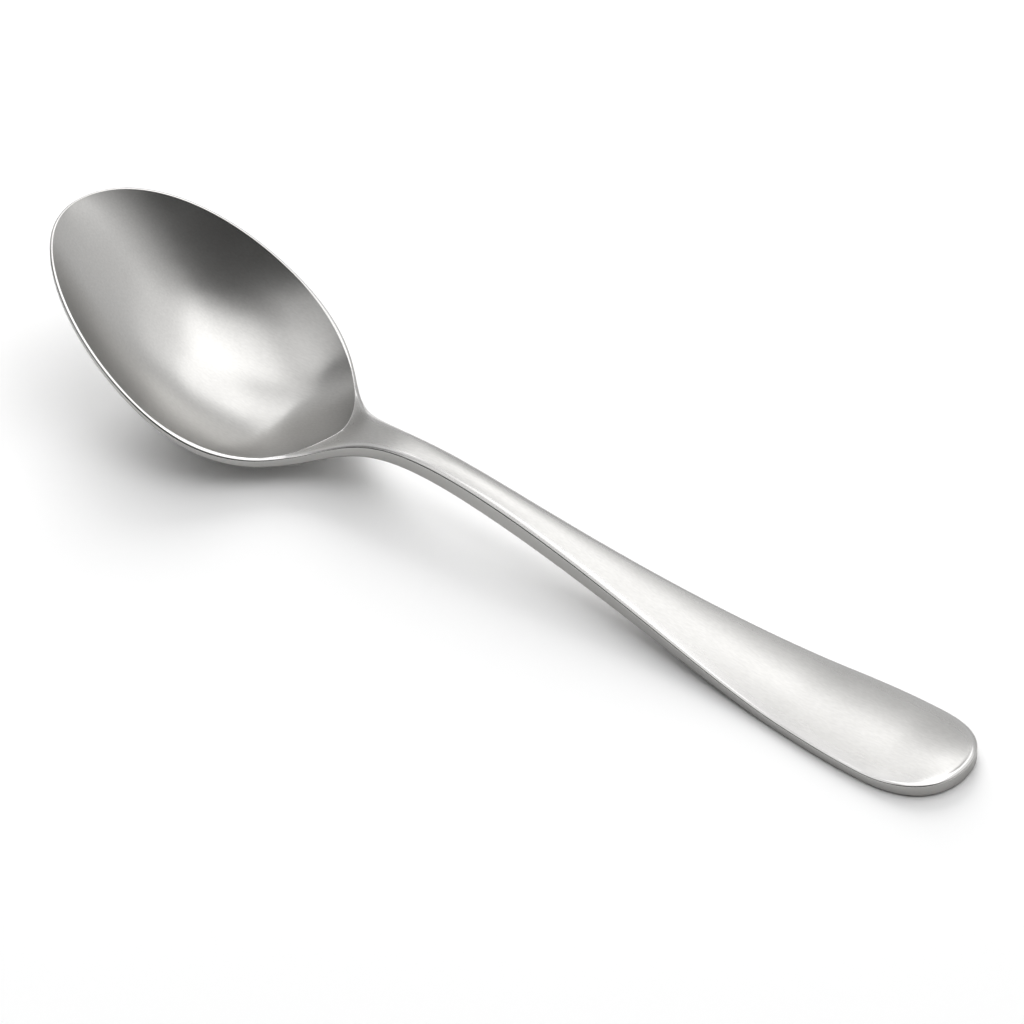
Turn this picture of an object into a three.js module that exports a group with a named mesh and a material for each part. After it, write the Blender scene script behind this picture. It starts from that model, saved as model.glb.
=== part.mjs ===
// Soup spoon for the table, pressed and forged from one piece of satin steel.
// Millimetres, +Z up. Places along the spoon are measured from the bowl's tip towards the handle's end.
// The spoon lies as it does on a table, z = 0: the bowl touches at its keel, the handle with its
// last stretch.

import * as THREE from 'three';
import { mergeVertices } from 'three/addons/utils/BufferGeometryUtils.js';

// Seen from above: where the outline turns, and the full widths there
const SPOON_LENGTH = 200;
const BOWL_WIDEST_AT = 33.3;
const BOWL_WIDTH = 46.3;
const SHOULDER_AT = 57.8; // the bowl's round outline turns hollow here, towards the neck
const SHOULDER_WIDTH = 22;
const SHOULDER_SLOPE = 0.84; // half width lost for each millimetre along the spoon
const NECK_AT = 88.8;
const NECK_WIDTH = 5.8;
const HANDLE_WIDTH = 22.25;
const HANDLE_END_RUN = 14.3; // from the handle's widest place to its end

// Seen from the side: heights of the upper edge, which runs all round the spoon
const TIP_HEIGHT = 27.9;
const RIM_LOW_AT = 55;
const RIM_LOW_HEIGHT = 5.5;
const CREST_AT = 84.5; // top of the arch between bowl and handle
const CREST_HEIGHT = 12.2;
const REST_RUN = 32; // last stretch of the handle, flat on the table

// Metal thickness at the edge
const RIM_THICKNESS = 1.2;
const SHANK_THICKNESS = 3.8;
const SHANK_AT = 102;
const HANDLE_THICKNESS = 2.05;
const END_THICKNESS = 2.95; // the handle's end is thicker again
const THICK_END_RUN = 15;

// Keel, the lowest line of the underside
const KEEL_AT = 46; // the bowl touches the table here
const KEEL_TIP_SLOPE = 0.93;

// Hollow of the bowl
const BOWL_WALL = 1.1;
const BOWL_FULLNESS = 2.3; // of the bowl's section: 2 is a parabola, more is steeper below the rim
const RIM_WIDTH = 0.85;
const ROOT_RUN = 4.4; // from the shoulder to the hollow's end, a crisp edge before the neck
const ROOT_LAND = 4.2; // how much narrower than the shoulder the hollow's edge aims to close
const ROOT_SLOPE = 0.62;

// Edges and crown
const CROWN_ANGLE = THREE.MathUtils.degToRad(9); // how far the handle's top leans at its edges
const TOP_ROUNDING = 0.35; // radius of the upper edge, as a share of the thickness
const BOTTOM_ROUNDING = 0.2; // radius of the lower edge, likewise

// Fullness of the curves: the share of a piece's run for which it keeps its first or last direction
const OUTLINE_FULLNESS = {
  tip: 0.47,
  bowlFront: 0.57,
  bowlBack: 0.57,
  shoulderFront: 0.22,
  shoulderBack: 0.29,
  neckFront: 0.56,
  neckBack: 0.45,
  handleFront: 0.24,
  handleBack: 0.7,
  end: 0.6,
};
const HOLLOW_BACK_FULLNESS = 0.54;
const EDGE_FULLNESS = {
  tip: 0.21,
  rimLowFront: 0.2,
  rimLowBack: 0.3,
  crestFront: 0.64,
  crestBack: 0.24,
  restFront: 0.3,
};
const KEEL_FULLNESS = { tip: 0.3, lowFront: 0.55, lowBack: 0.32, heel: 0.43 };
const FLOOR_FULLNESS = { lowBack: 0.32, root: 0.15 };

// Facets: steps along the pieces of the outline and across the section
const TIP_STEPS = 12;
const BOWL_STEPS = 8;
const NECK_STEPS = 12;
const HANDLE_STEPS = 14;
const END_STEPS = 8;
const ROOT_STEPS = 3; // of the neck's steps, those until the hollow has closed
const HOLLOW_STEPS = 7;
const LAND_STEPS = 3;
const TOP_EDGE_STEPS = 3;
const BOTTOM_EDGE_STEPS = 2;
const UNDERSIDE_STEPS = 7;

const STEEL = new THREE.MeshStandardMaterial({ color: 0xb0b0ae, roughness: 0.3, metalness: 1 });

const { lerp, smoothstep } = THREE.MathUtils;
const point = (x, y) => new THREE.Vector2(x, y);

// One smooth piece of a profile between two points, with its slope and fullness at each end.
function profilePiece(start, startSlope, startFullness, end, endSlope, endFullness) {
  const run = end.x - start.x;
  const leave = point(1, startSlope).multiplyScalar(run * startFullness).add(start);
  const arrive = point(1, endSlope).multiplyScalar(-run * endFullness).add(end);
  return new THREE.CubicBezierCurve(start, leave, arrive, end);
}

// A quarter round from a tip on the middle line to the widest place beside it.
function tipPiece(tip, tipFullness, widest, widestFullness) {
  const corner = point(tip.x, widest.y);
  const leave = tip.clone().lerp(corner, tipFullness);
  const arrive = widest.clone().lerp(corner, widestFullness);
  return new THREE.CubicBezierCurve(tip, leave, arrive, widest);
}

function reversed({ v0, v1, v2, v3 }) {
  return new THREE.CubicBezierCurve(v3, v2, v1, v0);
}

// Outward normal of a half outline that runs from the tip to the handle's end.
function outwardNormal({ v0, v1, v2, v3 }, t) {
  const along = point(0, 0)
    .addScaledVector(v1.clone().sub(v0), (1 - t) ** 2)
    .addScaledVector(v2.clone().sub(v1), 2 * t * (1 - t))
    .addScaledVector(v3.clone().sub(v2), t ** 2);
  return point(-along.y, along.x).normalize();
}

// Height of a profile, made of pieces that follow each other along x.
function heightAt(profile, x) {
  const piece = profile.find(({ v3 }) => x <= v3.x) ?? profile.at(-1);
  let low = 0;
  let high = 1;
  while (high - low > 1e-9) {
    const middle = (low + high) / 2;
    if (piece.getPoint(middle).x < x) low = middle;
    else high = middle;
  }
  return piece.getPoint(low).y;
}

const handleWidestAt = SPOON_LENGTH - HANDLE_END_RUN;
const restAt = SPOON_LENGTH - REST_RUN;
const rootAt = SHOULDER_AT + ROOT_RUN;

// Half outline from the bowl's tip to the handle's end: x along the spoon, y the half width.
const bowlSide = point(BOWL_WIDEST_AT, BOWL_WIDTH / 2);
const shoulder = point(SHOULDER_AT, SHOULDER_WIDTH / 2);
const neckSide = point(NECK_AT, NECK_WIDTH / 2);
const handleSide = point(handleWidestAt, HANDLE_WIDTH / 2);
const handleEnd = point(SPOON_LENGTH, 0);
const full = OUTLINE_FULLNESS;
const outline = [
  { curve: tipPiece(point(0, 0), full.tip, bowlSide, full.bowlFront), steps: TIP_STEPS },
  {
    curve: profilePiece(bowlSide, 0, full.bowlBack, shoulder, -SHOULDER_SLOPE, full.shoulderFront),
    steps: BOWL_STEPS,
  },
  {
    curve: profilePiece(shoulder, -SHOULDER_SLOPE, full.shoulderBack, neckSide, 0, full.neckFront),
    steps: NECK_STEPS,
  },
  { curve: profilePiece(neckSide, 0, full.neckBack, handleSide, 0, full.handleFront), steps: HANDLE_STEPS },
  { curve: reversed(tipPiece(handleEnd, full.end, handleSide, full.handleBack)), steps: END_STEPS },
];

// Half outline of the hollow inside the rim, round at the root, and the neck's middle line after it.
const hollowSide = point(BOWL_WIDEST_AT, BOWL_WIDTH / 2 - RIM_WIDTH);
const root = point(rootAt, 0);
const hollowBack = new THREE.CubicBezierCurve(
  hollowSide,
  hollowSide.clone().lerp(point(rootAt, hollowSide.y), HOLLOW_BACK_FULLNESS),
  point(rootAt, SHOULDER_WIDTH / 2 - ROOT_LAND),
  root,
);
const landInside = [
  { curve: tipPiece(point(RIM_WIDTH, 0), full.tip, hollowSide, full.bowlFront), steps: TIP_STEPS },
  { curve: hollowBack, steps: BOWL_STEPS + ROOT_STEPS },
  { curve: new THREE.LineCurve(root, point(NECK_AT, 0)), steps: NECK_STEPS - ROOT_STEPS },
];

// Upper edge: down from the tip, low at the bowl's back, up over the arch and down to the table.
const rimLow = point(RIM_LOW_AT, RIM_LOW_HEIGHT);
const crest = point(CREST_AT, CREST_HEIGHT);
const restStart = point(restAt, HANDLE_THICKNESS);
const upperEdge = [
  profilePiece(point(0, TIP_HEIGHT), 0, EDGE_FULLNESS.tip, rimLow, 0, EDGE_FULLNESS.rimLowFront),
  profilePiece(rimLow, 0, EDGE_FULLNESS.rimLowBack, crest, 0, EDGE_FULLNESS.crestFront),
  profilePiece(crest, 0, EDGE_FULLNESS.crestBack, restStart, 0, EDGE_FULLNESS.restFront),
];

// What the handle's end has in thickness beyond the handle, all of it on top, over the flat rest.
function endSwell(x) {
  return (END_THICKNESS - HANDLE_THICKNESS) * smoothstep(x, SPOON_LENGTH - THICK_END_RUN, SPOON_LENGTH);
}
const edgeHeight = (x) => (x < restAt ? heightAt(upperEdge, x) : HANDLE_THICKNESS) + endSwell(x);

// Edge thickness: the rim's in the bowl's front half, then up to the shank's, down to the handle's and
// up again at its end.
function edgeThickness(x) {
  if (x < SHANK_AT) return lerp(RIM_THICKNESS, SHANK_THICKNESS, smoothstep(x, BOWL_WIDEST_AT, SHANK_AT));
  return lerp(SHANK_THICKNESS, HANDLE_THICKNESS, smoothstep(x, SHANK_AT, restAt)) + endSwell(x);
}
const lowerEdgeHeight = (x) => edgeHeight(x) - edgeThickness(x);

// Keel: from the rim's underside at the tip to the table, then up the heel to the neck's underside.
const keelTip = point(0, TIP_HEIGHT - RIM_THICKNESS);
const keelLow = point(KEEL_AT, 0);
const keelEnd = point(CREST_AT, lowerEdgeHeight(CREST_AT));
const keel = [
  profilePiece(keelTip, -KEEL_TIP_SLOPE, KEEL_FULLNESS.tip, keelLow, 0, KEEL_FULLNESS.lowFront),
  profilePiece(keelLow, 0, KEEL_FULLNESS.lowBack, keelEnd, 0, KEEL_FULLNESS.heel),
];
const keelHeight = (x) => (x < CREST_AT ? heightAt(keel, x) : lowerEdgeHeight(x));

// Floor of the hollow along its middle: one wall above the keel, then up to the crisp edge at the root.
const floorTip = point(RIM_WIDTH, edgeHeight(RIM_WIDTH));
const floorLow = point(KEEL_AT, BOWL_WALL);
const floorRoot = point(rootAt, edgeHeight(rootAt));
const hollowFloor = [
  profilePiece(floorTip, -KEEL_TIP_SLOPE, KEEL_FULLNESS.tip, floorLow, 0, KEEL_FULLNESS.lowFront),
  profilePiece(floorLow, 0, FLOOR_FULLNESS.lowBack, floorRoot, ROOT_SLOPE, FLOOR_FULLNESS.root),
];

// Places along a row of curves, with the normal where it is asked for.
function places(pieces, withNormal) {
  return pieces.flatMap(({ curve, steps }, index) => {
    const first = index === 0 ? 0 : 1;
    return Array.from({ length: steps + 1 - first }, (_, step) => {
      const t = (first + step) / steps;
      return { place: curve.getPoint(t), normal: withNormal ? outwardNormal(curve, t) : null };
    });
  });
}

// Half of the section at one station: from the middle of the top, over the edge, to the underside's middle.
// The land is the top beside the edge: it ends inside at the hollow, and past the root at the middle line.
function halfSection(edge, normal, inside) {
  const ring = [];
  const thickness = edgeThickness(edge.x);
  const topRadius = thickness * TOP_ROUNDING;
  const bottomRadius = thickness * BOTTOM_ROUNDING;
  const lean = CROWN_ANGLE * smoothstep(edge.x, rootAt, NECK_AT);
  const leanDrop = topRadius * (1 - Math.cos(lean));
  const inset = (distance) => edge.clone().addScaledVector(normal, -distance);

  const landEdge = inset(topRadius * (1 - Math.sin(lean)));
  const landStart = inside ?? point(landEdge.x, 0);
  const landHeight = (place, across) => {
    const crown = (Math.tan(lean) * landEdge.y) / 2;
    return edgeHeight(place.x) - leanDrop + crown * (1 - across ** 2);
  };

  // Hollow of the bowl, which has no width left past the root
  const hollowDepth = landStart.y > 0 ? edgeHeight(landStart.x) - heightAt(hollowFloor, landStart.x) : 0;
  for (let step = 0; step < HOLLOW_STEPS; step += 1) {
    const across = step / HOLLOW_STEPS;
    const depth = hollowDepth * (1 - across ** BOWL_FULLNESS);
    ring.push([landStart.x, landStart.y * across, landHeight(landStart, 0) - depth]);
  }

  // Land, from the hollow's edge or the middle line to the rounded edge
  for (let step = 0; step < LAND_STEPS; step += 1) {
    const place = landStart.clone().lerp(landEdge, step / LAND_STEPS);
    ring.push([place.x, place.y, landHeight(place, step / LAND_STEPS)]);
  }

  // Upper edge, rounded down to the side
  for (let step = 0; step <= TOP_EDGE_STEPS; step += 1) {
    const angle = lerp(lean, Math.PI / 2, step / TOP_EDGE_STEPS);
    const place = inset(topRadius * (1 - Math.sin(angle)));
    ring.push([place.x, place.y, edgeHeight(place.x) - topRadius * (1 - Math.cos(angle))]);
  }

  // Lower edge, rounded in to the underside
  for (let step = 0; step <= BOTTOM_EDGE_STEPS; step += 1) {
    const angle = lerp(0, Math.PI / 2, step / BOTTOM_EDGE_STEPS);
    const place = inset(bottomRadius * (1 - Math.cos(angle)));
    ring.push([place.x, place.y, lowerEdgeHeight(place.x) + bottomRadius * (1 - Math.sin(angle))]);
  }

  // Underside, from the lower edge to the keel
  const underEdge = inset(bottomRadius);
  const sag = lowerEdgeHeight(underEdge.x) - keelHeight(underEdge.x);
  for (let step = 1; step <= UNDERSIDE_STEPS; step += 1) {
    const across = 1 - step / UNDERSIDE_STEPS;
    const drop = sag * (1 - across ** BOWL_FULLNESS);
    ring.push([underEdge.x, underEdge.y * across, lowerEdgeHeight(underEdge.x) - drop]);
  }
  return ring;
}

// Skin between neighbouring half sections, and its mirror image, closed along the middle line.
function loft(rings) {
  const positions = [];
  const addTriangle = (corners, side) => {
    const ordered = side > 0 ? corners : [corners[0], corners[2], corners[1]];
    ordered.forEach(([x, y, z]) => positions.push(x, y * side, z));
  };
  for (let station = 0; station + 1 < rings.length; station += 1) {
    const here = rings[station];
    const next = rings[station + 1];
    for (let place = 0; place + 1 < here.length; place += 1) {
      for (const side of [1, -1]) {
        addTriangle([here[place], next[place], next[place + 1]], side);
        addTriangle([here[place], next[place + 1], here[place + 1]], side);
      }
    }
  }
  const geometry = new THREE.BufferGeometry();
  geometry.setAttribute('position', new THREE.Float32BufferAttribute(positions, 3));
  return withoutCollapsedTriangles(mergeVertices(geometry));
}

// The tips and the closed end of the hollow gather several places of a ring into one point.
function withoutCollapsedTriangles(geometry) {
  const corners = geometry.index.array;
  const kept = [];
  for (let start = 0; start < corners.length; start += 3) {
    const [a, b, c] = corners.slice(start, start + 3);
    if (a !== b && b !== c && c !== a) kept.push(a, b, c);
  }
  geometry.setIndex(kept);
  geometry.computeVertexNormals();
  return geometry;
}

const insidePlaces = places(landInside, false);
const sections = places(outline, true).map(({ place, normal }, station) =>
  halfSection(place, normal, insidePlaces[station]?.place),
);

const spoon = new THREE.Mesh(loft(sections), STEEL);
spoon.name = 'spoon';
spoon.position.x = -SPOON_LENGTH / 2;

const soupSpoon = new THREE.Group();
soupSpoon.add(spoon);

export default soupSpoon;
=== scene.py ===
"""A satin steel soup spoon on a white table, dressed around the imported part.

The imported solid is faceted, and steel mirrors every facet, so a fine skin of the same form stands for it. Its
sizes and curves are those of the part, apart from the hollow's edge, which leaves a narrower flat on the rim,
the tighter corner of the upper edge and the low lip at the hollow's end. Everything is drawn in millimetres
from the bowl's tip and turned to metres in the row frame at the end.
"""

import logging
import math
from dataclasses import dataclass, field
from enum import Enum
from typing import NamedTuple, Sequence

import bpy
import numpy as np
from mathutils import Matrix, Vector

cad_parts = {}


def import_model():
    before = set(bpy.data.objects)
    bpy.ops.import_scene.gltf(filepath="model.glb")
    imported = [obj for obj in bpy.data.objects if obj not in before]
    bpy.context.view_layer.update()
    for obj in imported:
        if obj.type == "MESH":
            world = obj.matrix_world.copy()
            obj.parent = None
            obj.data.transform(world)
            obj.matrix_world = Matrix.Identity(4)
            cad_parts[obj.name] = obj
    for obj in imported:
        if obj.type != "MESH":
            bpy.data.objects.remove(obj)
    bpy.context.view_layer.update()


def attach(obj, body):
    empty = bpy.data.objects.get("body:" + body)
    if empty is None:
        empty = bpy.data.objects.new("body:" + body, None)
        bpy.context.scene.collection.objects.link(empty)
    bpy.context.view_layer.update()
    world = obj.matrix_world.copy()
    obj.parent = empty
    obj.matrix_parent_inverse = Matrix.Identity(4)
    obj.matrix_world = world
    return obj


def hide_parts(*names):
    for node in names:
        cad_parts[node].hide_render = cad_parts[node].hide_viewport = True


LOG = logging.getLogger("soup_spoon")

MM = 0.001
CURVE_SAMPLES = 6001  # of each curve in a profile, so close that straight lines between them do
CLOSED_MM = 1e-9  # half width below which the hollow has closed
WELD_DISTANCE = 1e-7  # metres, points closer than this are one
LEVEL = 0.0  # slope of a curve that runs along the spoon
EVEN = 1 / 3  # fullness that gives a straight curve even steps
UP = Vector((0.0, 0.0, 1.0))
POLISH_AND_HIGHLIGHT = "polish_and_highlight"  # attribute of the skin: how far a point has the edges' polish, which sharpens its mirror image, and their painted highlight, a lighter colour
SHADED_SIDE = "side"  # attribute of the skin: how far a point is on the edge's side, painted darker there as shade

Point = tuple[float, float]
Places = np.ndarray | float


class Ray(Enum):
    """Directions of the room, in degrees around and up.

    Around is counted from straight behind the spoon, positive to the right as the camera sees it.
    """

    GLOW = (104.0, 20.0)
    DARK = (219.0, 12.0)
    BACK = (-6.0, 22.0)


def linear(hex_colour: str) -> tuple[float, float, float, float]:
    """Turns an sRGB colour to linear light.

    Args:
        hex_colour: Six hex digits, such as "C4C3C1".

    Returns:
        Red, green, blue and alpha for a shader's colour socket.
    """
    channels = []
    for start in (0, 2, 4):
        value = int(hex_colour[start : start + 2], 16) / 255
        channels.append(value / 12.92 if value <= 0.04045 else ((value + 0.055) / 1.055) ** 2.4)
    return (*channels, 1.0)


def add_node(
    tree: bpy.types.NodeTree,
    kind: str,
    links: dict[str | int, object] | None = None,
    **settings: object,
) -> bpy.types.Node:
    """Adds one node with its settings and links.

    Args:
        tree: The material's or world's node tree.
        kind: The node's type name.
        links: Input name or number to a constant, or to the output socket that feeds it.
        settings: Properties of the node itself.

    Returns:
        The new node.
    """
    node = tree.nodes.new(kind)
    for name, value in settings.items():
        setattr(node, name, value)
    for key, value in (links or {}).items():
        if isinstance(value, bpy.types.NodeSocket):
            tree.links.new(value, node.inputs[key])
        else:
            node.inputs[key].default_value = value
    return node


def add_object(name: str, data: bpy.types.ID) -> bpy.types.Object:
    """Adds a lamp or camera to the scene.

    Args:
        name: The object's name.
        data: The lamp or camera itself.

    Returns:
        The new object, at the origin.
    """
    thing = bpy.data.objects.new(name, data)
    bpy.context.scene.collection.objects.link(thing)
    return thing


def smooth_step(x: Places, low: float, high: float) -> Places:
    """Rises smoothly from 0 at low to 1 at high.

    Args:
        x: Where to take it.
        low: Last place with 0.
        high: First place with 1.

    Returns:
        Values from 0 to 1, one for each place.
    """
    share = np.clip((x - low) / (high - low), 0.0, 1.0)
    return share * share * (3.0 - 2.0 * share)


class Knot(NamedTuple):
    """One end of a curve: its place, the slope there and the share of the run that keeps this direction."""

    place: Point
    slope: float
    fullness: float


class Curve:
    """A smooth plane curve with two end points and two handles."""

    def __init__(self, *points: Point) -> None:
        """Keeps the start, its handle, the end's handle and the end."""
        self.points = np.array(points, dtype=float)

    @classmethod
    def between(cls, start: Knot, end: Knot) -> "Curve":
        """Joins two places that follow each other along the spoon.

        Args:
            start: The curve's first end.
            end: Its last end.

        Returns:
            The curve.
        """
        run = end.place[0] - start.place[0]
        leave = run * start.fullness
        arrive = run * end.fullness
        first = (start.place[0] + leave, start.place[1] + leave * start.slope)
        last = (end.place[0] - arrive, end.place[1] - arrive * end.slope)
        return cls(start.place, first, last, end.place)

    @classmethod
    def quarter(cls, tip: Point, tip_fullness: float, widest: Point, widest_fullness: float) -> "Curve":
        """Rounds a tip on the middle line off to the widest place beside it.

        Args:
            tip: Point on the middle line.
            tip_fullness: How far towards the corner the curve leaves the tip.
            widest: Point at the full half width.
            widest_fullness: How far towards the corner the curve leaves the widest place.

        Returns:
            The curve from tip to widest place.
        """
        first = (tip[0], tip[1] + (widest[1] - tip[1]) * tip_fullness)
        last = (widest[0] + (tip[0] - widest[0]) * widest_fullness, widest[1])
        return cls(tip, first, last, widest)

    def reversed(self) -> "Curve":
        """Gives the curve that runs backwards."""
        return Curve(*self.points[::-1])

    def at(self, share: np.ndarray) -> np.ndarray:
        """Finds points of the curve.

        Args:
            share: Parameters from 0 to 1.

        Returns:
            One row of x and y for each parameter.
        """
        t = share[:, None]
        a, b, c, d = self.points
        return a * (1 - t) ** 3 + 3 * b * t * (1 - t) ** 2 + 3 * c * t * t * (1 - t) + d * t**3

    def normals(self, share: np.ndarray) -> np.ndarray:
        """Finds the outward normals of a half outline that runs from the tip to the handle's end.

        Args:
            share: Parameters from 0 to 1.

        Returns:
            One unit row of x and y for each parameter.
        """
        t = share[:, None]
        a, b, c, d = self.points
        along = (b - a) * (1 - t) ** 2 + 2 * (c - b) * t * (1 - t) + (d - c) * t * t
        out = np.stack([-along[:, 1], along[:, 0]], axis=1)
        return out / np.linalg.norm(out, axis=1, keepdims=True)


class Profile:
    """A height along the spoon, made of curves that follow each other."""

    def __init__(self, *curves: Curve) -> None:
        """Samples the curves closely.

        Args:
            curves: Pieces in order along x.
        """
        share = np.linspace(0.0, 1.0, CURVE_SAMPLES)
        points = np.concatenate([curve.at(share) for curve in curves])
        self.x, first = np.unique(points[:, 0], return_index=True)
        self.z = points[first, 1]

    def __call__(self, x: Places) -> Places:
        """Reads the heights at places along the spoon. Past its ends the profile stays level."""
        return np.interp(x, self.x, self.z)


@dataclass(frozen=True)
class OutlineFullness:
    """The share of a curve's run that keeps its direction, before and behind each turn of the outlines."""

    tip: float = 0.47
    bowl_front: float = 0.57
    bowl_back: float = 0.57
    shoulder_front: float = 0.22
    shoulder_back: float = 0.29
    neck_front: float = 0.56
    neck_back: float = 0.45
    handle_front: float = 0.24
    handle_back: float = 0.7
    end: float = 0.6
    hollow_back: float = 0.64


@dataclass(frozen=True)
class EdgeFullness:
    """The same shares for the upper edge, seen from the side."""

    tip: float = 0.21
    rim_low_front: float = 0.2
    rim_low_back: float = 0.3
    crest_front: float = 0.64
    crest_back: float = 0.24
    rest_front: float = 0.3


@dataclass(frozen=True)
class BowlFullness:
    """The same shares for the keel below and the floor of the hollow, which leave the tip alike."""

    tip: float = 0.3
    low_front: float = 0.55
    keel_low_back: float = 0.32
    keel_heel: float = 0.43
    floor_low_back: float = 0.32
    floor_root: float = 0.15


@dataclass
class SpoonForm:
    """The spoon's form, in millimetres from the bowl's tip, with the names of the part's source."""

    # Seen from above: where the outline turns, and the full widths there
    length: float = 200.0
    bowl_widest_at: float = 33.3
    bowl_width: float = 46.3
    shoulder_at: float = 57.8
    shoulder_width: float = 22.0
    shoulder_slope: float = 0.84
    neck_at: float = 88.8
    neck_width: float = 5.8
    handle_width: float = 22.25
    handle_end_run: float = 14.3

    # Seen from the side: the upper edge, which runs all round the spoon
    tip_height: float = 27.9
    rim_low_at: float = 55.0
    rim_low_height: float = 5.5
    crest_at: float = 84.5
    crest_height: float = 12.2
    rest_run: float = 32.0

    # Metal thickness at the edge
    rim_thickness: float = 1.2
    shank_thickness: float = 3.8
    shank_at: float = 102.0
    handle_thickness: float = 2.05
    end_thickness: float = 2.95
    thick_end_run: float = 15.0

    # Keel, on which the bowl stands, and hollow. The rim's width, the root's land and the fullness of the hollow's
    # back differ from the solid's, which has a coarser edge there
    keel_at: float = 46.0
    keel_tip_slope: float = 0.93
    bowl_wall: float = 1.1
    bowl_fullness: float = 2.3
    rim_width: float = 0.55
    root_run: float = 4.4
    root_land: float = 6.5
    root_slope: float = 0.62

    # Fullness of the curves
    outline_fullness: OutlineFullness = OutlineFullness()
    edge_fullness: EdgeFullness = EdgeFullness()
    bowl_curve_fullness: BowlFullness = BowlFullness()

    # Lean of the handle's top at its edges, and the edges' radii as shares of the thickness
    crown_angle: float = math.radians(9.0)
    top_rounding: float = 0.35
    bottom_rounding: float = 0.2

    # The upper edge rolls over gently to the knee and turns down from there with this share of its radius
    knee_angle: float = math.radians(34.0)
    corner_share: float = 0.36

    # The lip at the hollow's end: how steeply it rises, and over which share of the land
    lip_slope: float = 0.24
    lip_share: float = 0.1

    # Polish with its painted highlight, a lighter colour: share of the land over which it fades from the hollow's
    # edge, strength along the outer edge at the neck and at the handle's end, and how closely it keeps to that
    # edge
    crease_polish_and_highlight: float = 0.5
    shank_polish_and_highlight: float = 0.5
    end_polish_and_highlight: float = 1.0
    polish_and_highlight_power: float = 10.0

    # Steps along the pieces of the outline and across the section. The root's are some of the neck's
    tip_steps: int = 48
    bowl_steps: int = 32
    neck_steps: int = 48
    handle_steps: int = 64
    end_steps: int = 48
    root_steps: int = 14
    hollow_steps: int = 40
    top_edge_steps: int = 12
    bottom_edge_steps: int = 5
    underside_steps: int = 30

    # Extra lines close to the hollow's crisp edge, and the lines of the land
    crease_shares: tuple[float, ...] = (0.984, 0.992, 0.997)
    land_shares: tuple[float, ...] = (
        0.0, 0.015, 0.03, 0.05, 0.075, 0.1, 0.14, 0.25, 0.4, 0.55, 0.7, 0.8, 0.87, 0.93, 0.97,
    )

    def __post_init__(self) -> None:
        """Draws the outlines and the side profiles from the sizes."""
        self.rest_at = self.length - self.rest_run
        self.root_at = self.shoulder_at + self.root_run
        self.outline = self.draw_outline()
        self.land_inside = self.draw_land_inside()
        self.upper_edge = self.draw_upper_edge()
        self.keel = self.draw_keel()
        self.hollow_floor = self.draw_hollow_floor()

    def draw_outline(self) -> list[tuple[Curve, int]]:
        """Draws the half outline from the bowl's tip to the handle's end.

        Returns:
            Its curves, with the number of steps on each.
        """
        full = self.outline_fullness
        bowl = (self.bowl_widest_at, self.bowl_width / 2)
        shoulder = (self.shoulder_at, self.shoulder_width / 2)
        neck = (self.neck_at, self.neck_width / 2)
        handle = (self.length - self.handle_end_run, self.handle_width / 2)
        slope = -self.shoulder_slope
        tip = Curve.quarter((0.0, 0.0), full.tip, bowl, full.bowl_front)
        back = Curve.between(Knot(bowl, LEVEL, full.bowl_back), Knot(shoulder, slope, full.shoulder_front))
        waist = Curve.between(Knot(shoulder, slope, full.shoulder_back), Knot(neck, LEVEL, full.neck_front))
        shank = Curve.between(Knot(neck, LEVEL, full.neck_back), Knot(handle, LEVEL, full.handle_front))
        end = Curve.quarter((self.length, 0.0), full.end, handle, full.handle_back).reversed()
        return [
            (tip, self.tip_steps),
            (back, self.bowl_steps),
            (waist, self.neck_steps),
            (shank, self.handle_steps),
            (end, self.end_steps),
        ]

    def draw_land_inside(self) -> list[tuple[Curve, int]]:
        """Draws the hollow's edge, where the land starts, and the middle line from its end to the neck.

        Returns:
            The curves, with the number of steps on each.
        """
        full = self.outline_fullness
        side = (self.bowl_widest_at, self.bowl_width / 2 - self.rim_width)
        leave = (side[0] + (self.root_at - side[0]) * full.hollow_back, side[1])
        close = (self.root_at, self.shoulder_width / 2 - self.root_land)
        root = (self.root_at, 0.0)
        front = Curve.quarter((self.rim_width, 0.0), full.tip, side, full.bowl_front)
        back = Curve(side, leave, close, root)
        middle = Curve.between(Knot(root, LEVEL, EVEN), Knot((self.neck_at, 0.0), LEVEL, EVEN))
        return [
            (front, self.tip_steps),
            (back, self.bowl_steps + self.root_steps),
            (middle, self.neck_steps - self.root_steps),
        ]

    def draw_upper_edge(self) -> Profile:
        """Draws the upper edge from the tip over the rim's low place and the crest to the handle's rest.

        Returns:
            The edge's height, without the swell at the handle's end.
        """
        full = self.edge_fullness
        tip = (0.0, self.tip_height)
        low = (self.rim_low_at, self.rim_low_height)
        crest = (self.crest_at, self.crest_height)
        rest = (self.rest_at, self.handle_thickness)
        return Profile(
            Curve.between(Knot(tip, LEVEL, full.tip), Knot(low, LEVEL, full.rim_low_front)),
            Curve.between(Knot(low, LEVEL, full.rim_low_back), Knot(crest, LEVEL, full.crest_front)),
            Curve.between(Knot(crest, LEVEL, full.crest_back), Knot(rest, LEVEL, full.rest_front)),
        )

    def draw_keel(self) -> Profile:
        """Draws the lowest line of the underside, from the tip over the table to the crest.

        Returns:
            The keel's height.
        """
        full = self.bowl_curve_fullness
        tip = (0.0, self.tip_height - self.rim_thickness)
        low = (self.keel_at, 0.0)
        heel = (self.crest_at, float(self.lower_edge_height(self.crest_at)))
        return Profile(
            Curve.between(Knot(tip, -self.keel_tip_slope, full.tip), Knot(low, LEVEL, full.low_front)),
            Curve.between(Knot(low, LEVEL, full.keel_low_back), Knot(heel, LEVEL, full.keel_heel)),
        )

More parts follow.
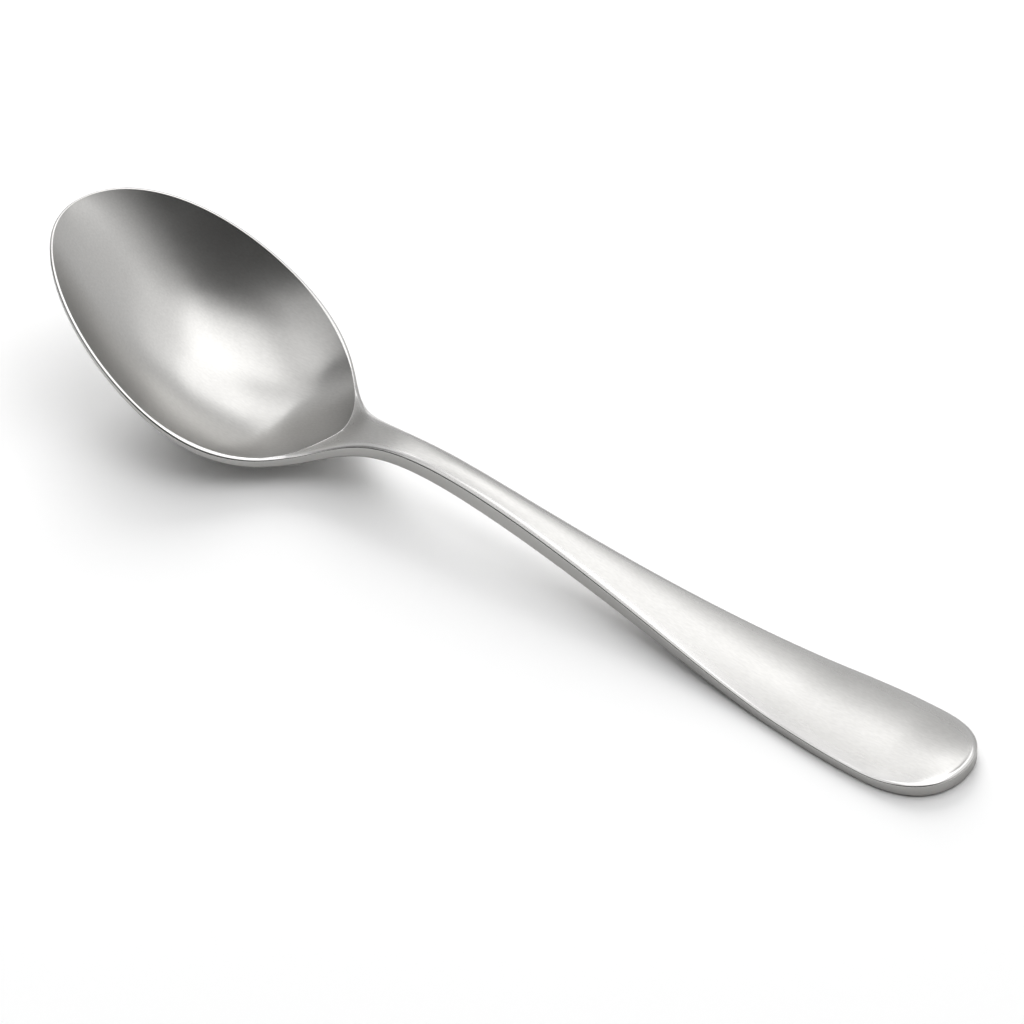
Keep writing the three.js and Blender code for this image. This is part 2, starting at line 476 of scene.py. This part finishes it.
    def draw_hollow_floor(self) -> Profile:
        """Draws the lowest line of the hollow, from its edge at the tip to its edge at the root.

        Returns:
            The floor's height.
        """
        full = self.bowl_curve_fullness
        tip = (self.rim_width, float(self.edge_height(self.rim_width)))
        low = (self.keel_at, self.bowl_wall)
        root = (self.root_at, float(self.edge_height(self.root_at)))
        return Profile(
            Curve.between(Knot(tip, -self.keel_tip_slope, full.tip), Knot(low, LEVEL, full.low_front)),
            Curve.between(Knot(low, LEVEL, full.floor_low_back), Knot(root, self.root_slope, full.floor_root)),
        )

    def end_swell(self, x: Places) -> Places:
        """Finds how much thicker than the handle its end is, at places along the spoon."""
        swell = smooth_step(x, self.length - self.thick_end_run, self.length)
        return swell * (self.end_thickness - self.handle_thickness)

    def edge_height(self, x: Places) -> Places:
        """Finds the height of the upper edge at places along the spoon."""
        return self.upper_edge(x) + self.end_swell(x)

    def edge_thickness(self, x: Places) -> Places:
        """Finds how thick the metal is at the edge.

        Args:
            x: Places along the spoon.

        Returns:
            Thickness at each place.
        """
        gain = self.shank_thickness - self.rim_thickness
        loss = self.shank_thickness - self.handle_thickness
        rise = smooth_step(x, self.bowl_widest_at, self.shank_at) * gain
        fall = smooth_step(x, self.shank_at, self.rest_at) * loss
        return self.rim_thickness + rise - fall + self.end_swell(x)

    def lower_edge_height(self, x: Places) -> Places:
        """Finds the height of the edge's lower side at places along the spoon."""
        return self.edge_height(x) - self.edge_thickness(x)


class HalfSkin:
    """The half of the skin with y at least 0, drawn in lines from the bowl's tip to the handle's end.

    The first line is the middle of the top, the last the middle of the underside, and each has one point at every
    station of the outline. Behind the hollow's end its lines lie on the middle line and are welded there.
    """

    def __init__(self, form: SpoonForm) -> None:
        """Works out what the lines share at the stations and draws them in order.

        Args:
            form: The spoon's sizes and curves.
        """
        self.form = form
        self.edge, self.normal = self.walk(form.outline)
        x = self.edge[:, 0]
        thickness = form.edge_thickness(x)
        self.top_radius = thickness * form.top_rounding
        self.bottom_radius = thickness * form.bottom_rounding
        self.lean = form.crown_angle * smooth_step(x, form.root_at, form.neck_at)
        self.lean_drop = self.top_radius * (1 - np.cos(self.lean))

        self.land_edge = self.inset(self.top_radius * (1 - np.sin(self.lean)))
        inside, _ = self.walk(form.land_inside)
        self.land_start = np.stack([self.land_edge[:, 0], np.zeros(len(x))], axis=1)
        self.land_start[: len(inside)] = inside
        self.crown = np.tan(self.lean) * self.land_edge[:, 1] / 2
        self.open_hollow = self.land_start[:, 1] > CLOSED_MM
        self.land_width = np.linalg.norm(self.land_edge - self.land_start, axis=1) * self.open_hollow

        # Polish and painted highlight along the outer edge: full at the bowl, weaker along the shank, full again
        # at the handle's end
        self.edge_polish_and_highlight = 1 - smooth_step(x, form.root_at, form.neck_at) * (1 - form.shank_polish_and_highlight)
        self.edge_polish_and_highlight += smooth_step(x, form.neck_at, form.length) * (form.end_polish_and_highlight - form.shank_polish_and_highlight)

        self.lines: list[np.ndarray] = []
        # Per line: polish with its painted highlight, and the painted shade on the edge's side
        self.polish_and_highlight: list[np.ndarray] = []
        self.side: list[np.ndarray] = []
        self.draw_hollow()
        self.draw_land()
        self.draw_upper_edge()
        self.draw_lower_edge()
        self.draw_underside()

    @staticmethod
    def walk(pieces: Sequence[tuple[Curve, int]]) -> tuple[np.ndarray, np.ndarray]:
        """Walks along a row of curves.

        Args:
            pieces: Curves with the number of steps on each.

        Returns:
            The points and the outward normals at every step.
        """
        points, normals = [], []
        for index, (curve, steps) in enumerate(pieces):
            share = np.linspace(0.0, 1.0, steps + 1)[min(index, 1) :]
            points.append(curve.at(share))
            normals.append(curve.normals(share))
        return np.concatenate(points), np.concatenate(normals)

    def inset(self, distance: np.ndarray) -> np.ndarray:
        """Moves the outline inwards, by a distance for each station."""
        return self.edge - self.normal * distance[:, None]

    def lip(self, across: float) -> np.ndarray:
        """Finds the lip's height on the land, at a place from 0 at the hollow to 1 at the edge."""
        rest = max(0.0, self.form.lip_share - across)
        return self.form.lip_slope * self.land_width * rest**2 / (2 * self.form.lip_share)

    def add(
        self,
        place: np.ndarray,
        half_width: np.ndarray,
        height: np.ndarray,
        polish_and_highlight_share: np.ndarray | float = 0.0,
        side_shade: float = 0.0,
    ) -> None:
        """Adds one line of the skin.

        Args:
            place: Points whose x is taken.
            half_width: Their y.
            height: Their z.
            polish_and_highlight_share: How far the line has the edges' polish and their painted highlight, a
                lighter colour.
            side_shade: How far it is on the edge's side, which is painted darker as shade.
        """
        self.lines.append(np.stack([place[:, 0], half_width, height], axis=1))
        self.polish_and_highlight.append(np.broadcast_to(polish_and_highlight_share, len(place)))
        self.side.append(np.broadcast_to(side_shade, len(place)))

    def draw_hollow(self) -> None:
        """Draws the hollow from its middle to its crisp edge, whose last line gets the polish and a painted
        highlight.
        """
        form = self.form
        start = self.land_start
        top = form.edge_height(start[:, 0]) - self.lean_drop + self.crown + self.lip(0.0)
        below = form.edge_height(start[:, 0]) - form.hollow_floor(start[:, 0])
        depth = np.where(self.open_hollow, below, 0.0)
        even_shares = np.arange(form.hollow_steps) / form.hollow_steps
        for across in (*even_shares, *form.crease_shares):
            height = top - depth * (1 - across**form.bowl_fullness)
            # The hollow's last line gets the polish and the painted highlight
            crease = self.open_hollow * float(across == form.crease_shares[-1])
            self.add(start, start[:, 1] * across, height, crease)

    def draw_land(self) -> None:
        """Draws the land: the rim's narrow flat around the bowl, the whole crowned top behind it."""
        form = self.form
        for across in form.land_shares:
            place = self.land_start + (self.land_edge - self.land_start) * across
            crown = self.crown * (1 - across**2)
            height = form.edge_height(place[:, 0]) - self.lean_drop + crown + self.lip(across)
            # Polish and painted highlight fade over the land from the hollow's edge and come back close to the
            # outer edge
            crease = self.open_hollow * max(0.0, 1 - across / form.crease_polish_and_highlight)
            polish_and_highlight_share = np.maximum(crease, self.edge_polish_and_highlight * across**form.polish_and_highlight_power)
            self.add(place, place[:, 1], height, polish_and_highlight_share)

    def draw_upper_edge(self) -> None:
        """Draws the upper edge: plain round at the bowl's front, a gentle roll and a tight corner further on."""
        form = self.form
        lean = self.lean
        knee = form.knee_angle
        tightening = smooth_step(self.edge[:, 0], form.bowl_widest_at, form.root_at)
        corner = 1 - tightening * (1 - form.corner_share)
        roll = (1 - np.sin(lean) - corner * (1 - np.sin(knee))) / (np.sin(knee) - np.sin(lean))
        for turn in np.linspace(0.0, 1.0, form.top_edge_steps + 1):
            angle = lean + (math.pi / 2 - lean) * turn
            rolled = np.minimum(angle, knee)
            turned = np.maximum(angle, knee)
            out = roll * (np.sin(rolled) - np.sin(lean)) + corner * (np.sin(turned) - np.sin(knee))
            drop = roll * (np.cos(lean) - np.cos(rolled)) + corner * (np.cos(knee) - np.cos(turned))
            place = self.inset(self.top_radius * (1 - np.sin(lean) - out))
            height = form.edge_height(place[:, 0]) - self.lean_drop - self.top_radius * drop
            # Round the edge the polish and its painted highlight fade, and the painted shade of the side grows
            self.add(place, place[:, 1], height, self.edge_polish_and_highlight * (1 - turn**2), float(turn))

    def draw_lower_edge(self) -> None:
        """Draws the lower edge, a plain round below the side, painted darker as shade."""
        form = self.form
        for turn in np.linspace(0.0, math.pi / 2, form.bottom_edge_steps + 1):
            place = self.inset(self.bottom_radius * (1 - math.cos(turn)))
            height = form.lower_edge_height(place[:, 0]) + self.bottom_radius * (1 - math.sin(turn))
            # All of the lower round gets the painted shade
            self.add(place, place[:, 1], height, side_shade=1.0)

    def draw_underside(self) -> None:
        """Draws the underside to its middle: round below the bowl, flat below shank and handle."""
        form = self.form
        under = self.inset(self.bottom_radius)
        low = form.lower_edge_height(under[:, 0])
        sag = np.where(under[:, 0] < form.crest_at, low - form.keel(under[:, 0]), 0.0)
        for across in 1 - np.arange(1, form.underside_steps + 1) / form.underside_steps:
            self.add(under, under[:, 1] * across, low - sag * (1 - across**form.bowl_fullness))

    def points(self) -> np.ndarray:
        """Gives the points in the row frame.

        Returns:
            Metres by line, station and axis, with the origin half way along the spoon.
        """
        points = np.stack(self.lines)
        points[..., 0] -= self.form.length / 2
        return points * MM


@dataclass(frozen=True)
class SatinSteel:
    """Stainless steel with a satin finish: rolled, brushed fine and then given a polish along its edges.

    It gives the eye a broad soft mirror image of the room, dulled by a fine grain along the spoon, and a crisp
    bright line along the edges, where the polish sharpens the mirror image and a lighter colour paints a
    highlight.
    A darker colour paints shade on the edge's side. The real grain is too fine to show in the render, so it is
    drawn as coarse as it needs to show.
    """

    name: str = "satin_stainless_steel"

    # Satin faces, the lighter colour painted as a highlight along the polished edges, the darker colour painted as
    # shade on the cut side below them, and what faces turn to when seen at a slant
    colour: str = "CECDCB"
    edge_highlight_colour: str = "E6E5E4"
    side_shade_colour: str = "AFAEAC"
    grazing_tint: str = "DCDCDC"

    # Blur of the mirror image, soft on the faces and crisper along the edges
    roughness: float = 0.29
    edge_roughness: float = 0.16

    # Grain: width of a line, its length against that, and how far it changes tone and surface
    grain_mm: float = 0.3
    grain_stretch: float = 4.0
    grain_detail: float = 3.0
    grain_tone: float = 0.06
    grain_depth_mm: float = 0.0004

    # Faint clouds left by the polishing: their size, the usual range of their noise, and how far they change blur
    # and surface
    cloud_mm: float = 9.0
    cloud_detail: float = 2.0
    cloud_low: float = 0.3
    cloud_high: float = 0.7
    cloud_share: float = 0.05
    cloud_depth_mm: float = 0.06

    def material(self) -> bpy.types.Material:
        """Makes the material.

        Returns:
            The satin steel, with its grain along the spoon.
        """
        material = bpy.data.materials.new(self.name)
        material.use_nodes = True
        tree = material.node_tree
        tree.nodes.clear()
        where = add_node(tree, "ShaderNodeTexCoord").outputs["Object"]
        along = (1 / self.grain_stretch, 1.0, 1.0)
        stretched = add_node(tree, "ShaderNodeMapping", {0: where, "Scale": along})
        grain = add_node(
            tree,
            "ShaderNodeTexNoise",
            {
                "Vector": stretched.outputs[0],
                "Scale": 1 / (self.grain_mm * MM),
                "Detail": self.grain_detail,
            },
        )
        cloud = add_node(
            tree,
            "ShaderNodeTexNoise",
            {"Vector": where, "Scale": 1 / (self.cloud_mm * MM), "Detail": self.cloud_detail},
        )
        # Marks from the skin: polish with a painted highlight, and painted shade on the edge's side
        polish_and_highlight = add_node(tree, "ShaderNodeAttribute", attribute_name=POLISH_AND_HIGHLIGHT)
        side = add_node(tree, "ShaderNodeAttribute", attribute_name=SHADED_SIDE)
        satin = add_node(
            tree,
            "ShaderNodeMapRange",
            {
                "Value": cloud.outputs["Fac"],
                "From Min": self.cloud_low,
                "From Max": self.cloud_high,
                "To Min": self.roughness * (1 - self.cloud_share),
                "To Max": self.roughness * (1 + self.cloud_share),
            },
        )
        rough = add_node(
            tree,
            "ShaderNodeMix",
            {0: polish_and_highlight.outputs["Fac"], 2: satin.outputs[0], 3: self.edge_roughness},
            data_type="FLOAT",
        )

        # The noise keeps to the middle half of its range, so its ends lie twice as far out as the tone changes
        grey = linear(self.colour)[:3]
        tone = add_node(
            tree,
            "ShaderNodeMix",
            {
                "Factor": grain.outputs["Fac"],
                "A": (*(value * (1 - 2 * self.grain_tone) for value in grey), 1.0),
                "B": (*(value * (1 + 2 * self.grain_tone) for value in grey), 1.0),
            },
            data_type="RGBA",
        )
        colour = tone.outputs["Result"]
        # A lighter colour paints the highlight on the polished edges, a darker one paints shade on the edge's side
        for mark, marked_colour in ((polish_and_highlight, self.edge_highlight_colour), (side, self.side_shade_colour)):
            mixed = add_node(
                tree,
                "ShaderNodeMix",
                {"Factor": mark.outputs["Fac"], "A": colour, "B": linear(marked_colour)},
                data_type="RGBA",
            )
            colour = mixed.outputs["Result"]
        waves = add_node(
            tree, "ShaderNodeBump", {"Height": cloud.outputs["Fac"], "Distance": self.cloud_depth_mm * MM}
        )
        bump = add_node(
            tree,
            "ShaderNodeBump",
            {
                "Height": grain.outputs["Fac"],
                "Distance": self.grain_depth_mm * MM,
                "Normal": waves.outputs[0],
            },
        )
        shader = add_node(
            tree,
            "ShaderNodeBsdfPrincipled",
            {
                "Base Color": colour,
                "Specular Tint": linear(self.grazing_tint),
                "Metallic": 1.0,
                "Roughness": rough.outputs[0],
                "Normal": bump.outputs[0],
            },
        )
        add_node(tree, "ShaderNodeOutputMaterial", {"Surface": shader.outputs[0]})
        return material


@dataclass
class Spoon:
    """The one piece of the object."""

    form: SpoonForm = field(default_factory=SpoonForm)
    finish: SatinSteel = SatinSteel()
    name: str = "soup_spoon"
    node: str = "spoon"
    body: str = "root"
    slot: str = "satin_steel"

    def build(self) -> bpy.types.Object:
        """Shapes one half from a grid, mirrors it and closes it along the middle.

        Returns:
            The finished skin.
        """
        half = HalfSkin(self.form)
        points = half.points()
        lines, stations = points.shape[:2]
        bpy.ops.object.select_all(action="DESELECT")
        bpy.ops.mesh.primitive_grid_add(x_subdivisions=stations - 1, y_subdivisions=lines - 1, size=1.0)
        piece = bpy.context.active_object
        piece.name = piece.data.name = self.name
        mesh = piece.data
        mesh.vertices.foreach_set("co", points.ravel())
        # Writes the marks for polish with its painted highlight and for the painted shade on the edge's side
        for name, values in ((POLISH_AND_HIGHLIGHT, half.polish_and_highlight), (SHADED_SIDE, half.side)):
            mark = mesh.attributes.new(name, "FLOAT", "POINT")
            mark.data.foreach_set("value", np.stack(values).ravel())
        mesh.update()

        mirror = piece.modifiers.new("other_half", "MIRROR")
        mirror.use_axis = (False, True, False)
        mirror.use_mirror_merge = False
        bpy.ops.object.modifier_apply(modifier=mirror.name)
        bpy.ops.object.mode_set(mode="EDIT")
        bpy.ops.mesh.select_all(action="SELECT")
        bpy.ops.mesh.remove_doubles(threshold=WELD_DISTANCE)
        bpy.ops.mesh.dissolve_degenerate(threshold=WELD_DISTANCE)
        bpy.ops.mesh.select_all(action="SELECT")
        bpy.ops.mesh.normals_make_consistent(inside=False)
        bpy.ops.object.mode_set(mode="OBJECT")
        bpy.ops.object.shade_smooth()
        return piece

    def dress(self, piece: bpy.types.Object) -> None:
        """Gives the skin its steel and its place in the part.

        Args:
            piece: The finished skin.
        """
        piece.data.materials.append(self.finish.material())
        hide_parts(self.node)
        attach(piece, self.body)


@dataclass(frozen=True)
class Softbox:
    """A level rectangle of soft light above the table.

    Its sides are metres from the spoon, as the camera sees right and away. The brightness is that of its surface,
    where 1 is white.
    """

    name: str
    left: float
    right: float
    front: float
    back: float
    brightness: float


@dataclass(frozen=True)
class ShadowLamp:
    """A round lamp low behind the spoon that lights the table only and draws the shadow towards the viewer.

    The steel doesn't mirror it: the photograph's steel shows no lamp there, although its shadow falls that way.
    Its share of the table's brightness is given, and the angle that it fills as seen from the spoon, in degrees.
    """

    name: str = "shadow_lamp"
    floor_share: float = 0.33
    spread: float = 40.0
    distance: float = 1.5


@dataclass
class Studio:
    """White table, soft light from overhead and behind, and the camera of the photograph."""

    # Camera, as fitted to the edges of the spoon: degrees, metres and the photograph's own scale at the spoon
    azimuth: float = 38.376
    elevation: float = 40.239
    distance: float = 2.0
    target: tuple[float, float, float] = (-0.005418, 0.00798, 0.0)
    pixels_per_mm: float = 5.654
    picture_pixels: int = 1024
    sensor_mm: float = 36.0
    clip_end: float = 160.0

    # Table, which is also the white background
    floor_size: float = 40.0
    floor_colour: str = "FEFEFE"

    # Walls of the room: grey around, a faint glow at the right, a dark side behind the camera. Wide and narrow
    # are the degrees from the middle of each at which its change starts and is complete
    light_colour: str = "FFFFFF"
    surround: float = 0.57
    glow: float = 0.1
    glow_wide: float = 75.0
    glow_narrow: float = 40.0
    dark_share: float = 0.91
    dark_wide: float = 99.0
    dark_narrow: float = 59.0

    # Softboxes, each hung a little higher than the one before
    softboxes: tuple[Softbox, ...] = (
        Softbox("wide_softbox", left=-0.67, right=1.4, front=-0.3, back=1.0, brightness=0.36),
        Softbox("front_softbox", left=-0.29, right=0.57, front=-0.5, back=0.41, brightness=0.96),
        Softbox("middle_softbox", left=0.06, right=0.69, front=0.41, back=1.17, brightness=0.7),
        Softbox("back_softbox", left=-0.34, right=0.22, front=0.84, back=1.22, brightness=0.91),
        Softbox("far_softbox", left=-0.34, right=0.03, front=1.22, back=1.9, brightness=0.8),
        Softbox("left_softbox", left=-1.15, right=-0.4, front=-0.87, back=0.3, brightness=0.68),
    )
    softbox_height: float = 0.98
    softbox_gap: float = 0.01
    shadow_lamp: ShadowLamp = ShadowLamp()

    def view_axes(self) -> tuple[Vector, Vector]:
        """Finds the level directions that the camera sees as right and as away."""
        turn = math.radians(self.azimuth)
        return Vector((math.cos(turn), math.sin(turn), 0.0)), Vector((-math.sin(turn), math.cos(turn), 0.0))

    def direction(self, ray: Ray) -> Vector:
        """Turns a direction of the room to the row frame.

        Args:
            ray: Which direction.

        Returns:
            Unit vector from the spoon towards it.
        """
        around, up = (math.radians(angle) for angle in ray.value)
        right, away = self.view_axes()
        flat = right * math.sin(around) + away * math.cos(around)
        return flat * math.cos(up) + UP * math.sin(up)

    def build_floor(self) -> bpy.types.Object:
        """Lays the table, matt and white, so that it shows the soft shadow and nothing else.

        Returns:
            The floor.
        """
        bpy.ops.object.select_all(action="DESELECT")
        bpy.ops.mesh.primitive_plane_add(size=self.floor_size)
        floor = bpy.context.active_object
        floor.name = "table"
        material = bpy.data.materials.new("white_table")
        material.use_nodes = True
        tree = material.node_tree
        tree.nodes.clear()
        matt = add_node(tree, "ShaderNodeBsdfDiffuse", {"Color": linear(self.floor_colour)})
        add_node(tree, "ShaderNodeOutputMaterial", {"Surface": matt.outputs[0]})
        floor.data.materials.append(material)
        return floor

    def build_walls(self) -> None:
        """Gives the room its walls of grey light, brighter at the right and dark behind the camera."""
        world = bpy.data.worlds.new("studio")
        bpy.context.scene.world = world
        world.use_nodes = True
        tree = world.node_tree
        tree.nodes.clear()
        look = add_node(tree, "ShaderNodeTexCoord").outputs["Generated"]

        def lobe(ray: Ray, wide: float, narrow: float, outside: float, inside: float) -> bpy.types.NodeSocket:
            """Makes a brightness that changes smoothly around one direction.

            Args:
                ray: The direction.
                wide: Angle from it, in degrees, where the change starts.
                narrow: Angle from it where the change is complete.
                outside: Brightness beyond the wide angle.
                inside: Brightness within the narrow angle.

            Returns:
                The brightness socket.
            """
            towards = self.direction(ray)
            aim = add_node(tree, "ShaderNodeVectorMath", {0: look, 1: towards}, operation="DOT_PRODUCT")
            ramp = add_node(
                tree,
                "ShaderNodeMapRange",
                {
                    "Value": aim.outputs["Value"],
                    "From Min": math.cos(math.radians(wide)),
                    "From Max": math.cos(math.radians(narrow)),
                    "To Min": outside,
                    "To Max": inside,
                },
                interpolation_type="SMOOTHSTEP",
            )
            return ramp.outputs[0]

        glow = lobe(Ray.GLOW, self.glow_wide, self.glow_narrow, self.surround, self.surround + self.glow)
        dark = lobe(Ray.DARK, self.dark_wide, self.dark_narrow, 1.0, 1.0 - self.dark_share)
        level = add_node(tree, "ShaderNodeMath", {0: glow, 1: dark}, operation="MULTIPLY")
        sky = add_node(
            tree, "ShaderNodeBackground", {"Color": linear(self.light_colour), "Strength": level.outputs[0]}
        )
        add_node(tree, "ShaderNodeOutputWorld", {"Surface": sky.outputs[0]})

    def hang(self, softbox: Softbox, height: float) -> None:
        """Hangs a softbox level above the table.

        Args:
            softbox: Its reach and brightness.
            height: How far above the table, different for each, as two in one plane would hide each other.
        """
        data = bpy.data.lights.new(softbox.name, "AREA")
        data.shape = "RECTANGLE"
        data.size = softbox.right - softbox.left
        data.size_y = softbox.back - softbox.front
        data.energy = softbox.brightness * math.pi * data.size * data.size_y
        data.color = linear(self.light_colour)[:3]
        lamp = add_object(softbox.name, data)
        right, away = self.view_axes()
        middle = right * (softbox.left + softbox.right) / 2 + away * (softbox.front + softbox.back) / 2
        lamp.location = middle + UP * height
        lamp.rotation_euler = (0.0, 0.0, math.radians(self.azimuth))

    def stand(self, shadow_lamp: ShadowLamp) -> None:
        """Stands the shadow lamp behind the spoon, turned to it.

        Args:
            shadow_lamp: Its share of the table's light, its spread and its distance.
        """
        towards = self.direction(Ray.BACK)
        data = bpy.data.lights.new(shadow_lamp.name, "AREA")
        data.shape = "DISK"
        data.size = 2 * shadow_lamp.distance * math.tan(math.radians(shadow_lamp.spread) / 2)
        data.energy = shadow_lamp.floor_share * (math.pi * shadow_lamp.distance) ** 2 / towards.z
        data.color = linear(self.light_colour)[:3]
        lamp = add_object(shadow_lamp.name, data)
        lamp.location = towards * shadow_lamp.distance
        lamp.rotation_euler = towards.to_track_quat("Z", "Y").to_euler()
        lamp.visible_glossy = False

    def build_camera(self) -> None:
        """Sets the camera where the photograph's edges put it."""
        turn, lift = math.radians(self.azimuth), math.radians(self.elevation)
        back = Vector((math.sin(turn) * math.cos(lift), -math.cos(turn) * math.cos(lift), math.sin(lift)))
        data = bpy.data.cameras.new("camera")
        data.sensor_width = self.sensor_mm
        data.lens = self.sensor_mm * self.pixels_per_mm * self.distance / MM / self.picture_pixels
        data.clip_end = self.clip_end
        camera = add_object("camera", data)
        camera.location = Vector(self.target) + back * self.distance
        camera.rotation_euler = back.to_track_quat("Z", "Y").to_euler()
        bpy.context.scene.camera = camera

    def build(self) -> None:
        """Sets up the table, the walls, the lamps and the camera."""
        bpy.context.scene.view_settings.view_transform = "Standard"
        self.build_floor()
        self.build_walls()
        for layer, softbox in enumerate(self.softboxes):
            self.hang(softbox, self.softbox_height + layer * self.softbox_gap)
        self.stand(self.shadow_lamp)
        self.build_camera()


def main() -> None:
    """Loads the frame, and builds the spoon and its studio."""
    logging.basicConfig(level=logging.INFO)
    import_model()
    spoon = Spoon()
    piece = spoon.build()
    spoon.dress(piece)
    LOG.info("spoon skin: %d faces", len(piece.data.polygons))
    Studio().build()


if __name__ == "__main__":
    main()
